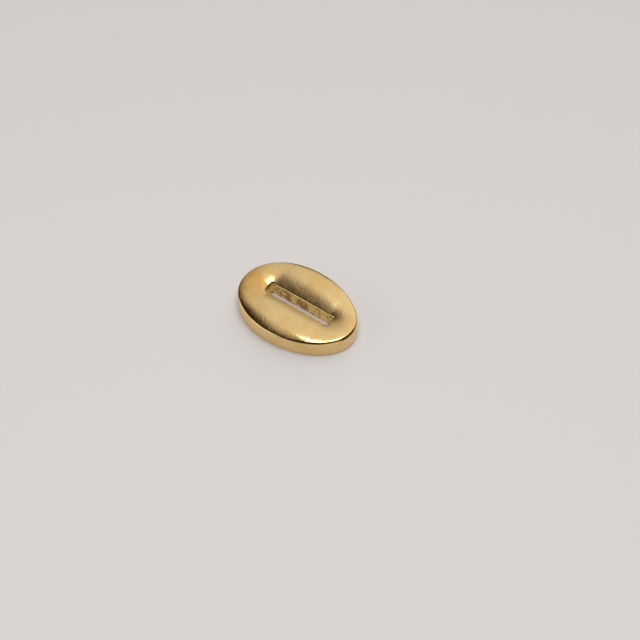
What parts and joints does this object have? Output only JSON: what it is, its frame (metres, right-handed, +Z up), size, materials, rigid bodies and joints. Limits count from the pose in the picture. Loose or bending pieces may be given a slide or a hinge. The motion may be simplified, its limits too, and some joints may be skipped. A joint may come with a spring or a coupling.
{
  "type": "buckle slider",
  "caption": "Oval solid brass slider with a domed face dished towards a straight slot, which a flat strap or ribbon runs through.",
  "frame": {"origin": "centre of the oval, on the flat base that it rests on", "axes": "+X along the oval and its slot, away from the blunter end; +Y across it, towards the long side that the slot is nearer to; +Z up, out of the domed face"},
  "size_m": [0.034, 0.024, 0.0055],
  "materials": {
    "satin_brass": "satin, polished on the shoulder, as cast in the slot"
  },
  "bodies": {
    "root": {"slider_body": "satin_brass"}
  },
  "joints": []
}
